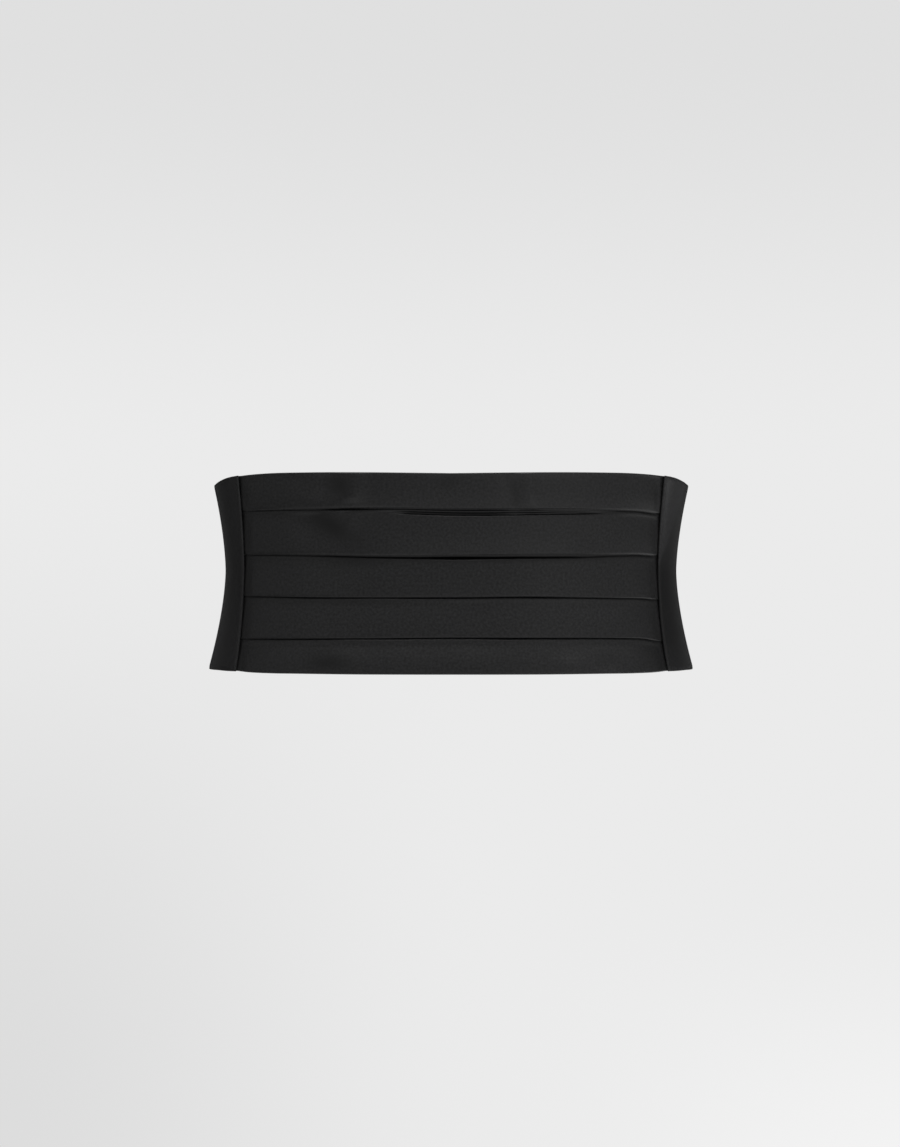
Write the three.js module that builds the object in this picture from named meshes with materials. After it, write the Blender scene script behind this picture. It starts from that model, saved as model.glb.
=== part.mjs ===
// Pleated cummerbund, fastened into a loop as it is worn.
// Millimetres, +Z up, the front facing -Y. The origin is on the loop's axis, level with the narrow waist.
import * as THREE from "three";

// Body curve that the cloth lies on
const WAIST_WIDTH = 289.4; // side to side, inside the cloth, at the waist
const WAIST_DEPTH = 212; // front to back, inside the cloth, at the waist
const SQUARENESS = 2.2; // power of the plan curve: 2 is an ellipse, more is squarer
const TOP_FLARE = 8.7; // how far the sides lean out at the top edge
const HEM_FLARE = 11.7; // how far they lean out at the hem
const FLARE_POWER = 1.6;

// Pleated front
const RISE = 59; // top edge above the waist
const DROP = 66; // hem below the waist
const FRONT_HALF_WIDTH = 146.5; // middle to side seam, along the cloth
const SEAM_BOW = 2.2; // how much wider the front is at its top edge and hem
const FRONT_WALL = 1.6;
const PLEAT_LIFT = 1.9; // how far a pleat's folded edge stands off the layer behind it
const POCKET_GAP = 0.6; // width of the open fold behind a pleat's edge
const POCKET_DEPTH = 5;
const SEAM_ALLOWANCE = 10; // cloth that runs on behind the side panel
const SEAM_RELIEF = 0.3; // share of the pleats' lift that is left where they are sewn down
const PUCKER_LENGTH = 9; // stretch beside the seam over which the pleats flatten

// Side panels
const SIDE_WALL = 1.4;
const SIDE_LENGTH = 140; // from the seam to the strap end
const SETTLE_LENGTH = 16; // stretch behind the seam over which the panel comes in to the body
const STRAP_MARGIN = 3; // how much the panel's end stands past the strap, above and below

// Straps and clasp
const STRAP_HEIGHT = 38;
const STRAP_WALL = 1.3;
const STRAP_LAP = 14; // strap on the outside of the side panel
const STRAP_TAIL = 26; // strap turned back inside the clasp
const CLASP_WIDTH = 32;
const CLASP_WALL = 2;
const CLASP_BAR = 3; // width of the bar that a strap goes round
const SLOT_WIDTH = 5;
const SLOT_CLEARANCE = 1; // slot above and below the strap
const SLOT_CORNER = 0.6;
const CLASP_MARGIN = 3; // clasp above and below its slots
const CLASP_CORNER = 4;

// Clearance between neighbouring pieces
const GAP = 0.3;

// Height of each pleat's folded lower edge over the hem, as a share of the front's height, from the left seam
// to the right. The last pleat ends at the hem. swell is how much its middle rounds out, a share of the lift.
const PLEATS = [
  { left: 0.822, midLeft: 0.819, middle: 0.813, midRight: 0.813, right: 0.805, swell: 0.2 },
  { left: 0.597, midLeft: 0.586, middle: 0.58, midRight: 0.588, right: 0.59, swell: 0.3 },
  { left: 0.39, midLeft: 0.379, middle: 0.374, midRight: 0.378, right: 0.37, swell: 0.2 },
  { left: 0.174, midLeft: 0.176, middle: 0.176, midRight: 0.175, right: 0.161, swell: 0.2 },
  { left: 0, midLeft: 0, middle: 0, midRight: 0, right: 0, swell: 0.1 },
];

// The front's upper and lower edges from its middle to a seam, as shares of the rise and the drop
const FRONT_EDGES = [
  { across: 0, top: 0.993, hem: 1 },
  { across: 0.2, top: 1, hem: 1 },
  { across: 0.5, top: 1.01, hem: 0.997 },
  { across: 0.8, top: 1.017, hem: 0.991 },
  { across: 1, top: 1.003, hem: 0.974 },
];

// A side panel's edges from the seam to the strap: 1 is the full rise or drop, 0 is the strap end's height
const SIDE_SECTIONS = [
  { along: 0, top: 1.003, hem: 0.972 },
  { along: 0.08, top: 0.984, hem: 0.97 },
  { along: 0.18, top: 0.946, hem: 0.963 },
  { along: 0.32, top: 0.889, hem: 0.936 },
  { along: 0.55, top: 0.68, hem: 0.76 },
  { along: 0.8, top: 0.235, hem: 0.28 },
  { along: 1, top: 0, hem: 0 },
];

// Soft dents in the pleats' faces. across and reach, the half length, are shares of the front's half width;
// height and spread, the half height, are shares of its height; slant tips a dent; depth is of the lift.
const DENTS = [
  { across: -0.56, height: 0.74, reach: 0.14, spread: 0.05, slant: -0.45, depth: 0.55 },
  { across: 0.1, height: 0.775, reach: 0.42, spread: 0.025, slant: 0, depth: 0.45 },
  { across: -0.55, height: 0.9, reach: 0.05, spread: 0.09, slant: 0.2, depth: 0.35 },
  { across: 0.29, height: 0.89, reach: 0.05, spread: 0.08, slant: 0.25, depth: 0.3 },
];

const FRONT_HEIGHT = RISE + DROP;
const STRAP_END_HALF = STRAP_HEIGHT / 2 + STRAP_MARGIN;

const SATIN = new THREE.MeshStandardMaterial({ color: 0x17171a, roughness: 0.42, metalness: 0 });
const CLASP_METAL = new THREE.MeshStandardMaterial({ color: 0x1b1b1d, roughness: 0.35, metalness: 0.9 });

const { lerp, smoothstep } = THREE.MathUtils;

// Value of a column of a table whose rows are ordered by a key column
function lookUp(table, key, column, value) {
  const next = table.findIndex((row) => row[key] >= value);
  if (next <= 0) return table[next === 0 ? 0 : table.length - 1][column];
  const [low, high] = [table[next - 1], table[next]];
  return lerp(low[column], high[column], (value - low[key]) / (high[key] - low[key]));
}

// The same value, on a smooth curve through the rows
function smoothLookUp(table, key, column, value) {
  const last = table.length - 1;
  const next = THREE.MathUtils.clamp(table.findIndex((row) => row[key] >= value), 1, last);
  const slopeAt = (i) => {
    const [before, after] = [table[Math.max(i - 1, 0)], table[Math.min(i + 1, last)]];
    return (after[column] - before[column]) / (after[key] - before[key]);
  };
  const span = table[next][key] - table[next - 1][key];
  const t = THREE.MathUtils.clamp((value - table[next - 1][key]) / span, 0, 1);
  const bend = t * (1 - t) * span;
  const straight = lerp(table[next - 1][column], table[next][column], t * t * (3 - 2 * t));
  return straight + bend * ((1 - t) * slopeAt(next - 1) - t * slopeAt(next));
}

// Plan of the body curve at the waist, from the front (angle 0) round one side to the back (angle pi)
function planPoint(angle) {
  const power = 2 / SQUARENESS;
  const across = Math.abs(Math.sin(angle)) ** power;
  const along = Math.sign(Math.cos(angle)) * Math.abs(Math.cos(angle)) ** power;
  return new THREE.Vector2((across * WAIST_WIDTH) / 2, (-along * WAIST_DEPTH) / 2);
}

function planNormal(point) {
  const power = SQUARENESS - 1;
  const x = Math.abs((2 * point.x) / WAIST_WIDTH) ** power / WAIST_WIDTH;
  const y = Math.abs((2 * point.y) / WAIST_DEPTH) ** power / WAIST_DEPTH;
  return new THREE.Vector2(x, Math.sign(point.y) * y).normalize();
}

// Angle of the plan curve against the distance along it
const CURVE_STEPS = 720;
const CURVE = [{ distance: 0, angle: 0 }];
for (let step = 1; step <= CURVE_STEPS; step++) {
  const angle = (Math.PI * step) / CURVE_STEPS;
  const stride = planPoint(angle).distanceTo(planPoint(CURVE[step - 1].angle));
  CURVE.push({ distance: CURVE[step - 1].distance + stride, angle });
}
const HALF_GIRTH = CURVE[CURVE_STEPS].distance;

// Scale of the body curve at a height
function flare(z) {
  const lean = z > 0 ? TOP_FLARE * (z / RISE) ** FLARE_POWER : HEM_FLARE * (-z / DROP) ** FLARE_POWER;
  return 1 + (2 * lean) / WAIST_WIDTH;
}

// Place of a point of cloth: distance along the body from the middle of the front (negative to the left),
// height, distance out from the body, and the height whose section it follows
function onBody(distance, z, out, sectionHeight = z) {
  const scale = flare(sectionHeight);
  const plan = planPoint(lookUp(CURVE, "distance", "angle", Math.abs(distance) / scale));
  const normal = planNormal(plan);
  plan.multiplyScalar(scale).addScaledVector(normal, out);
  return new THREE.Vector3(Math.sign(distance) * plan.x, plan.y, z);
}

// Triangles that close a loop, found on the plane that it lies nearest to
function endFaces(loop) {
  const normal = new THREE.Vector3();
  loop.forEach((point, i) => {
    normal.add(new THREE.Vector3().crossVectors(point, loop[(i + 1) % loop.length]));
  });
  const turn = new THREE.Quaternion().setFromUnitVectors(normal.normalize(), new THREE.Vector3(0, 0, 1));
  const flat = loop.map((point) => {
    const turned = point.clone().applyQuaternion(turn);
    return new THREE.Vector2(turned.x, turned.y);
  });
  return THREE.ShapeUtils.triangulateShape(flat, []);
}

// Closed solid through a row of loops with equal numbers of points
function loftedSolid(loops) {
  const count = loops[0].length;
  const positions = loops.flat().flatMap((point) => point.toArray());
  const index = [];
  for (let row = 0; row + 1 < loops.length; row++) {
    for (let i = 0; i < count; i++) {
      const near = row * count + i;
      const beside = row * count + ((i + 1) % count);
      index.push(near, beside, beside + count, near, beside + count, near + count);
    }
  }
  const last = (loops.length - 1) * count;
  for (const [a, b, c] of endFaces(loops[0])) index.push(a, c, b);
  for (const [a, b, c] of endFaces(loops[loops.length - 1])) index.push(last + a, last + b, last + c);
  const geometry = new THREE.BufferGeometry();
  geometry.setAttribute("position", new THREE.Float32BufferAttribute(positions, 3));
  geometry.setIndex(index);
  geometry.computeVertexNormals();
  return geometry;
}

// Distance from the middle of the front to the seam at a height
function seamAt(z) {
  return FRONT_HALF_WIDTH + SEAM_BOW * (z / DROP) ** 2;
}

function frontEdge(across, column) {
  return smoothLookUp(FRONT_EDGES, "across", column, Math.abs(across));
}

// Height of a pleat's folded edge at a place across the front, from -1 at the left seam to 1 at the right
function foldHeight(pleat, across) {
  const stations = [pleat.left, pleat.midLeft, pleat.middle, pleat.midRight, pleat.right];
  const curve = new THREE.SplineCurve(stations.map((share) => new THREE.Vector2(0, share)));
  return -DROP + curve.getPoint((THREE.MathUtils.clamp(across, -1, 1) + 1) / 2).y * FRONT_HEIGHT;
}

function dentDepth(across, z) {
  let depth = 0;
  for (const dent of DENTS) {
    const x = (across - dent.across) / dent.reach;
    const y = ((z + DROP) / FRONT_HEIGHT - dent.height) / dent.spread - dent.slant * x;
    depth += dent.depth * PLEAT_LIFT * Math.exp(-(x ** 2) - y ** 2);
  }
  return depth;
}

const FACE_STEPS = 5;
const INNER_STEPS = 12;

// Closed outline of the pleated front at one place across, as height and distance out. relief is the share of
// the pleats' full lift there.
function frontOutline(across, relief) {
  const top = RISE * frontEdge(across, "top");
  const hem = -DROP * frontEdge(across, "hem");
  const lift = PLEAT_LIFT * relief;
  const gap = POCKET_GAP * relief;
  const lip = (lift - gap) / 2;
  const outline = [];
  let upper = top;
  PLEATS.forEach((pleat, order) => {
    const isLast = order === PLEATS.length - 1;
    const lower = isLast ? hem : foldHeight(pleat, across);
    const faceEnd = isLast ? lower + FRONT_WALL / 2 : lower + lip;
    const faceStart = order === 0 ? upper - FRONT_WALL / 2 : upper;
    if (order > 0) outline.push([upper + POCKET_DEPTH, FRONT_WALL]);
    for (let step = 0; step <= FACE_STEPS; step++) {
      const down = step / FACE_STEPS;
      const z = lerp(faceStart, faceEnd, down);
      const swell = pleat.swell * lift * Math.sin(Math.PI * down);
      const ends = Math.min(1, 4 * down, 4 * (1 - down));
      outline.push([z, FRONT_WALL + lift * down ** 0.8 + swell - ends * relief * dentDepth(across, z)]);
    }
    if (isLast) {
      outline.push([lower, FRONT_WALL + lift - 0.35 * FRONT_WALL]);
      outline.push([lower, 0.35 * FRONT_WALL]);
    } else {
      outline.push([lower + 0.3 * lip, FRONT_WALL + lift - 0.3 * lip]);
      outline.push([lower, FRONT_WALL + lift - lip]);
      outline.push([lower + 0.3 * lip, FRONT_WALL + lift - 1.7 * lip]);
      outline.push([lower + lip, FRONT_WALL + gap]);
      outline.push([lower + POCKET_DEPTH, FRONT_WALL + gap / 2]);
    }
    upper = lower;
  });
  for (let step = 0; step <= INNER_STEPS; step++) {
    outline.push([lerp(hem + FRONT_WALL / 2, top - FRONT_WALL / 2, step / INNER_STEPS), 0]);
  }
  outline.push([top, 0.35 * FRONT_WALL]);
  outline.push([top, 0.65 * FRONT_WALL]);
  return outline;
}

// Loft of outlines that stand on the body at one distance each
function clothAlongBody(stations) {
  return loftedSolid(stations.map(({ outline, distanceAt }) =>
    outline.map(([z, out]) => onBody(distanceAt(z), z, out))));
}

function pleatedFront() {
  const steps = 30;
  const stations = [];
  const place = (side, past) => {
    stations.push({
      outline: frontOutline(side, SEAM_RELIEF),
      distanceAt: (z) => side * (seamAt(z) + past),
    });
  };
  place(-1, SEAM_ALLOWANCE);
  place(-1, SEAM_ALLOWANCE / 2);
  for (let step = 0; step <= steps; step++) {
    const across = Math.sin((Math.PI / 2) * lerp(-1, 1, step / steps));
    const fromSeam = (1 - Math.abs(across)) * FRONT_HALF_WIDTH;
    const relief = lerp(SEAM_RELIEF, 1, smoothstep(fromSeam, 0, PUCKER_LENGTH));
    stations.push({ outline: frontOutline(across, relief), distanceAt: (z) => across * seamAt(z) });
  }
  place(1, SEAM_ALLOWANCE / 2);
  place(1, SEAM_ALLOWANCE);
  return clothAlongBody(stations);
}

// A side panel's inner face off the body: over the sewn pleats at first, then in on the body
const SIDE_START = FRONT_WALL + PLEAT_LIFT * SEAM_RELIEF + GAP;
function sideInner(past) {
  const settled = smoothstep(past, SEAM_ALLOWANCE + 1, SEAM_ALLOWANCE + 1 + SETTLE_LENGTH);
  return lerp(SIDE_START, 0, settled);
}

function sideOutline(past, thickness) {
  const along = past / SIDE_LENGTH;
  const top = lerp(STRAP_END_HALF, RISE, smoothLookUp(SIDE_SECTIONS, "along", "top", along));
  const hem = -lerp(STRAP_END_HALF, DROP, smoothLookUp(SIDE_SECTIONS, "along", "hem", along));
  const middle = sideInner(past) + SIDE_WALL / 2;
  const outline = [];
  for (let step = 0; step <= INNER_STEPS; step++) {
    const z = lerp(top - SIDE_WALL / 3, hem + SIDE_WALL / 3, step / INNER_STEPS);
    outline.push([z, middle + thickness / 2]);
  }
  outline.push([hem, middle]);
  for (let step = INNER_STEPS; step >= 0; step--) {
    const z = lerp(top - SIDE_WALL / 3, hem + SIDE_WALL / 3, step / INNER_STEPS);
    outline.push([z, middle - thickness / 2]);
  }
  outline.push([top, middle]);
  return outline;
}

// Mirror image in the plane that parts left from right
function mirrored(geometry) {
  const copy = geometry.clone().scale(-1, 1, 1);
  const index = copy.getIndex();
  for (let i = 0; i < index.count; i += 3) {
    const second = index.getX(i + 1);
    index.setX(i + 1, index.getX(i + 2));
    index.setX(i + 2, second);
  }
  copy.computeVertexNormals();
  return copy;
}

function sidePanel() {
  const stations = [];
  const place = (past, thickness) => {
    stations.push({ outline: sideOutline(past, thickness), distanceAt: (z) => seamAt(z) + past });
  };
  place(0, 0.4 * SIDE_WALL);
  place(0.35 * SIDE_WALL, 0.85 * SIDE_WALL);
  const steps = 24;
  for (let step = 0; step <= steps; step++) {
    place(lerp(0.8 * SIDE_WALL, SIDE_LENGTH, (step / steps) ** 1.2), SIDE_WALL);
  }
  return clothAlongBody(stations);
}

// Offsets of the strap and the clasp from the body at the back
const TAIL_OUT = GAP;
const CLASP_OUT = TAIL_OUT + STRAP_WALL + GAP;
const RUN_OUT = CLASP_OUT + CLASP_WALL + GAP;
const LAP_OUT = SIDE_WALL + GAP;
const STRAP_START = FRONT_HALF_WIDTH + SIDE_LENGTH - STRAP_LAP;
const CLASP_START = HALF_GIRTH - CLASP_WIDTH / 2;
const STRAP_TURN = CLASP_START + CLASP_BAR + GAP;

// A strap in plan: along the outside, round the clasp's bar and back on the inside
function strapOutline() {
  const levelFrom = CLASP_START - STRAP_WALL;
  const run = (wall) => {
    const steps = 14;
    const row = [];
    for (let step = 0; step <= steps; step++) {
      const distance = lerp(STRAP_START, levelFrom, step / steps);
      const rising = smoothstep(distance, STRAP_START + STRAP_LAP, levelFrom);
      row.push([distance, lerp(LAP_OUT, RUN_OUT, rising) + wall]);
    }
    return row;
  };
  const tail = (out) => {
    const steps = 4;
    const row = [];
    for (let step = 0; step <= steps; step++) {
      row.push([lerp(STRAP_TURN, STRAP_TURN - STRAP_TAIL, step / steps), out]);
    }
    return row;
  };
  const turnEnd = STRAP_TURN + STRAP_WALL;
  return [
    ...run(STRAP_WALL),
    [STRAP_TURN, RUN_OUT + STRAP_WALL],
    [STRAP_TURN + 0.7 * STRAP_WALL, RUN_OUT + 0.7 * STRAP_WALL],
    [turnEnd, RUN_OUT],
    [turnEnd, TAIL_OUT + STRAP_WALL],
    [STRAP_TURN + 0.7 * STRAP_WALL, TAIL_OUT + 0.3 * STRAP_WALL],
    ...tail(TAIL_OUT),
    ...tail(TAIL_OUT + STRAP_WALL).reverse(),
    [STRAP_TURN, RUN_OUT],
    ...run(0).reverse(),
  ];
}

function backStrap() {
  const outline = strapOutline();
  const levels = 4;
  const loops = [];
  for (let level = 0; level <= levels; level++) {
    const z = lerp(-STRAP_HEIGHT / 2, STRAP_HEIGHT / 2, level / levels);
    loops.push(outline.map(([distance, out]) => {
      const follows = 1 - smoothstep(distance, STRAP_START + STRAP_LAP, STRAP_TURN - STRAP_TAIL);
      return onBody(distance, z, out, z * follows);
    }));
  }
  return loftedSolid(loops);
}

function roundedRectangle(Path, x, y, halfWidth, halfHeight, radius) {
  const path = new Path();
  const [left, right, bottom, top] = [x - halfWidth, x + halfWidth, y - halfHeight, y + halfHeight];
  path.moveTo(left + radius, bottom);
  path.lineTo(right - radius, bottom);
  path.absarc(right - radius, bottom + radius, radius, -Math.PI / 2, 0);
  path.lineTo(right, top - radius);
  path.absarc(right - radius, top - radius, radius, 0, Math.PI / 2);
  path.lineTo(left + radius, top);
  path.absarc(left + radius, top - radius, radius, Math.PI / 2, Math.PI);
  path.lineTo(left, bottom + radius);
  path.absarc(left + radius, bottom + radius, radius, Math.PI, 1.5 * Math.PI);
  return path;
}

// Flat plate with an upright slot near each end, one for each strap
function claspPlate() {
  const slotHalf = STRAP_HEIGHT / 2 + SLOT_CLEARANCE;
  const plate = roundedRectangle(THREE.Shape, 0, 0, CLASP_WIDTH / 2, slotHalf + CLASP_MARGIN, CLASP_CORNER);
  for (const side of [-1, 1]) {
    const x = side * (CLASP_WIDTH / 2 - CLASP_BAR - SLOT_WIDTH / 2);
    plate.holes.push(roundedRectangle(THREE.Path, x, 0, SLOT_WIDTH / 2, slotHalf, SLOT_CORNER));
  }
  return new THREE.ExtrudeGeometry(plate, { depth: CLASP_WALL, bevelEnabled: false, curveSegments: 4 });
}

const cummerbund = new THREE.Group();

function addPiece(name, geometry, material) {
  const mesh = new THREE.Mesh(geometry, material);
  mesh.name = name;
  cummerbund.add(mesh);
  return mesh;
}

const side = sidePanel();
const strap = backStrap();
addPiece("pleated_front", pleatedFront(), SATIN);
addPiece("side_panel_left", mirrored(side), SATIN);
addPiece("side_panel_right", side, SATIN);
addPiece("back_strap_left", mirrored(strap), SATIN);
addPiece("back_strap_right", strap, SATIN);

const clasp = addPiece("back_clasp", claspPlate(), CLASP_METAL);
clasp.rotation.x = Math.PI / 2;
clasp.position.y = onBody(CLASP_START + CLASP_BAR / 2, 0, CLASP_OUT).y + CLASP_WALL;

export default cummerbund;
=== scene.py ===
"""Pleated satin cummerbund, fastened as it is worn, in a plain pale studio."""

import math

import bmesh
import bpy
import numpy as np
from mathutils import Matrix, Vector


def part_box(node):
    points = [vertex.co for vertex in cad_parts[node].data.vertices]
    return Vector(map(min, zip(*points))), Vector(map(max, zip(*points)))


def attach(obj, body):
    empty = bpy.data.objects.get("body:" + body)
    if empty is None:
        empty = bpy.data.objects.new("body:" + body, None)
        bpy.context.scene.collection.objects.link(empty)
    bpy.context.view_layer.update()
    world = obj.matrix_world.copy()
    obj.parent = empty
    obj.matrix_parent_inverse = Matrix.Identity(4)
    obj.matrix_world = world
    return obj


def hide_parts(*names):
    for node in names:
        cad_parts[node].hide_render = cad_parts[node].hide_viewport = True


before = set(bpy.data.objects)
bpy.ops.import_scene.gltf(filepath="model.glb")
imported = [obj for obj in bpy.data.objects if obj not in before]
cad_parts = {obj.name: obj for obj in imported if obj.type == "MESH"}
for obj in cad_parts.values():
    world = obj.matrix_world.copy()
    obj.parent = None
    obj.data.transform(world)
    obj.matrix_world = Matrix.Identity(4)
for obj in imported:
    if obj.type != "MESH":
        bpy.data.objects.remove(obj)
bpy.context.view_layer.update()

# Sizes in millimetres, as in the frame
MM = 0.001
WAIST_WIDTH = 289.4
WAIST_DEPTH = 212
SQUARENESS = 2.2
TOP_FLARE = 8.7
HEM_FLARE = 11.7
FLARE_POWER = 1.6

RISE = 59
DROP = 66
FRONT_HEIGHT = RISE + DROP
FRONT_HALF_WIDTH = 146.5
SEAM_ALLOWANCE = 10
FRONT_WALL = 1.6
PLEAT_LIFT = 1.9
POCKET_GAP = 0.6
POCKET_DEPTH = 5
SEAM_RELIEF = 0.3
PUCKER_LENGTH = 9

SIDE_WALL = 1.4
SIDE_LENGTH = 140
STRAP_HEIGHT = 38
STRAP_MARGIN = 3
STRAP_WALL = 1.3
STRAP_LAP = 14
STRAP_TAIL = 26
CLASP_WIDTH = 32
CLASP_WALL = 2
CLASP_BAR = 3
SLOT_WIDTH = 5
SLOT_CLEARANCE = 1
CLASP_MARGIN = 3
CLASP_CORNER = 4
GAP = 0.3

# Each seam's distance from the front's middle at the waist, and how far it bows out at the top and the hem
SEAMS = {
    "left": {"middle": 144.0, "top": 1.6, "hem": 2.8},
    "right": {"middle": 144.0, "top": 2.2, "hem": 4.8},
}

# Height of each pleat's folded edge over the hem, as a share of the front's height, at places across it.
# droop is how far its right end turns down, and open how wide its fold stands, as a share of the usual, at
# five places from left to right.
FOLD_PLACES = (-1, -0.6, -0.3, 0, 0.35, 0.7, 1)
OPEN_PLACES = (-1, -0.45, 0.1, 0.6, 1)
FOLDS = [
    {
        "heights": (0.825, 0.8255, 0.827, 0.82, 0.8225, 0.824, 0.8215),
        "droop": 1.1,
        "open": (0.35, 1.0, 1.0, 1.3, 0.9),
    },
    {
        "heights": (0.6045, 0.5975, 0.5905, 0.5915, 0.5985, 0.602, 0.6075),
        "droop": 1.0,
        "open": (0.4, 1.3, 2.2, 2.2, 0.8),
    },
    {
        "heights": (0.395, 0.385, 0.383, 0.3825, 0.3865, 0.383, 0.3815),
        "droop": 0.6,
        "open": (0.4, 0.6, 0.6, 0.7, 0.5),
    },
    {
        "heights": (0.1775, 0.179, 0.1805, 0.1825, 0.182, 0.182, 0.1785),
        "droop": 1.6,
        "open": (0.3, 0.5, 0.55, 0.6, 0.5),
    },
]

# The front's upper and lower edges from its middle to a seam, as shares of the rise and the drop
FRONT_EDGES = {
    "across": (0, 0.2, 0.4, 0.65, 0.8, 0.92, 1),
    "top": (0.993, 1.0, 1.008, 1.015, 1.017, 1.011, 1.003),
    "hem": (1, 1, 0.999, 0.994, 0.991, 0.983, 0.971),
}

# A side panel's edges from the seam to the strap: 1 is the full rise or drop, 0 is the strap end's height
SIDE_SECTIONS = {
    "along": (0, 0.08, 0.18, 0.32, 0.44, 0.62, 0.82, 1),
    "top": (1.008, 0.989, 0.953, 0.911, 0.885, 0.66, 0.21, 0),
    "hem": (0.962, 0.958, 0.949, 0.943, 0.925, 0.70, 0.23, 0),
}

# Soft dents and swells in the pleats: place across and height as shares, half length and half height in
# millimetres, slant in degrees and depth in millimetres, where a swell's depth is negative
DENTS = [
    {"across": -0.62, "height": 0.725, "reach": 10, "spread": 8, "slant": -20, "depth": 1.7},
    {"across": -0.47, "height": 0.76, "reach": 10, "spread": 9, "slant": -20, "depth": -1.9},
    {"across": -0.56, "height": 0.93, "reach": 6, "spread": 12, "slant": -80, "depth": 0.9},
    {"across": -0.425, "height": 0.93, "reach": 12, "spread": 7, "slant": -80, "depth": -1.7},
    {"across": 0.25, "height": 0.90, "reach": 4, "spread": 13, "slant": 18, "depth": 0.8},
    {"across": 0.33, "height": 0.91, "reach": 5, "spread": 12, "slant": 14, "depth": -1.1},
    {"across": -0.02, "height": 0.985, "reach": 7, "spread": 6, "slant": 0, "depth": 0.5},
    {"across": -0.60, "height": 0.05, "reach": 9, "spread": 6, "slant": 0, "depth": 0.4},
    {"across": -0.45, "height": 0.05, "reach": 12, "spread": 9, "slant": 0, "depth": -0.4},
    {"across": 0.5, "height": 0.04, "reach": 9, "spread": 6, "slant": 0, "depth": -0.7},
    {"across": 0.68, "height": 0.04, "reach": 9, "spread": 6, "slant": 0, "depth": 0.7},
    {"across": -0.50, "height": 0.50, "reach": 13, "spread": 7, "slant": 0, "depth": 0.9},
    {"across": -0.30, "height": 0.50, "reach": 13, "spread": 7, "slant": 0, "depth": -0.9},
    {"across": 0.10, "height": 0.29, "reach": 12, "spread": 9, "slant": 20, "depth": 0.6},
    {"across": 0.62, "height": 0.68, "reach": 12, "spread": 9, "slant": 30, "depth": 0.6},
]

# Painted shade: places where the cloth's colour is darker, and painted light where depth is negative,
# standing in for soft shading that the dents alone don't give. The columns are those of the dents, with
# depth as a share of the tone.
PAINTED_SHADE_SPOTS = [
    {"across": -0.52, "height": 0.745, "reach": 19, "spread": 6.5, "slant": -27, "depth": 1.0},
    {"across": -0.475, "height": 0.94, "reach": 9, "spread": 7, "slant": -10, "depth": 0.8},
    {"across": -0.57, "height": 0.92, "reach": 4, "spread": 9, "slant": -6, "depth": -0.25},
    {"across": 0.275, "height": 0.89, "reach": 3, "spread": 9, "slant": 18, "depth": 0.35},
    {"across": -0.02, "height": 0.96, "reach": 8, "spread": 5, "slant": 0, "depth": 0.25},
    {"across": -0.52, "height": 0.06, "reach": 14, "spread": 5, "slant": 4, "depth": 0.8},
    {"across": 0.66, "height": 0.03, "reach": 18, "spread": 4, "slant": 0, "depth": -0.35},
    {"across": -0.42, "height": 0.565, "reach": 22, "spread": 3.5, "slant": -3, "depth": 0.5},
    {"across": 0.2, "height": 0.575, "reach": 50, "spread": 2.5, "slant": 1, "depth": 0.4},
    {"across": -0.45, "height": 0.365, "reach": 45, "spread": 2.5, "slant": 0, "depth": 0.3},
    {"across": -1.0, "height": 0.5, "reach": 3.5, "spread": 80, "slant": 0, "depth": 0.45},
    {"across": 1.0, "height": 0.1, "reach": 12, "spread": 16, "slant": 0, "depth": 0.4},
]

# The second crease under the first fold: where it starts and ends across and how far in it grows and fades,
# its drop under the fold in millimetres at both ends and the middle, its depth and half width in millimetres
CREASE = {
    "start": -0.36,
    "end": 0.80,
    "grows": 0.25,
    "fades": 0.3,
    "drop": (2.6, 3.1, 1.8),
    "depth": 1.8,
    "half_width": 0.9,
}

# Slow unevenness of laid cloth: height of each wave in millimetres, how many millimetres across and up go to
# a radian of it, and its start in radians
WAVES = [
    {"height": 0.16, "across": 23.0, "up": 47.0, "start": 0.9},
    {"height": 0.10, "across": 11.3, "up": -19.0, "start": 2.1},
    {"height": 0.05, "across": 6.1, "up": 9.0, "start": 0.4},
]


def smoothstep(value, low, high):
    t = np.clip((value - low) / (high - low), 0, 1)
    return t * t * (3 - 2 * t)


def lerp(low, high, t):
    return low + (high - low) * t


def smooth_curve(places, values, at):
    """Value at a place on a smooth curve through a table's points."""
    places, values = np.asarray(places, float), np.asarray(values, float)
    slopes = np.gradient(values, places)
    at = np.clip(at, places[0], places[-1])
    after = np.clip(np.searchsorted(places, at), 1, len(places) - 1)
    span = places[after] - places[after - 1]
    t = (at - places[after - 1]) / span
    straight = lerp(values[after - 1], values[after], t * t * (3 - 2 * t))
    return straight + t * (1 - t) * span * ((1 - t) * slopes[after - 1] - t * slopes[after])


# The body curve, front to back, as distance along it against place and direction out
CURVE_STEPS = 4000


def body_curve():
    angle = np.linspace(0, math.pi, CURVE_STEPS + 1)
    power = 2 / SQUARENESS
    cosine = np.cos(angle)
    x = WAIST_WIDTH / 2 * np.abs(np.sin(angle)) ** power
    y = -WAIST_DEPTH / 2 * np.sign(cosine) * np.abs(cosine) ** power
    distance = np.concatenate([[0], np.cumsum(np.hypot(np.diff(x), np.diff(y)))])
    nx = (2 * x / WAIST_WIDTH) ** (SQUARENESS - 1) / WAIST_WIDTH
    ny = np.sign(y) * np.abs(2 * y / WAIST_DEPTH) ** (SQUARENESS - 1) / WAIST_DEPTH
    length = np.hypot(nx, ny)
    return distance, x, y, nx / length, ny / length


CURVE = body_curve()
HALF_GIRTH = CURVE[0][-1]


def flare(z):
    up = np.clip(z, 0, None) / RISE
    down = np.clip(-z, 0, None) / DROP
    return 1 + 2 / WAIST_WIDTH * (TOP_FLARE * up ** FLARE_POWER + HEM_FLARE * down ** FLARE_POWER)


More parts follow.
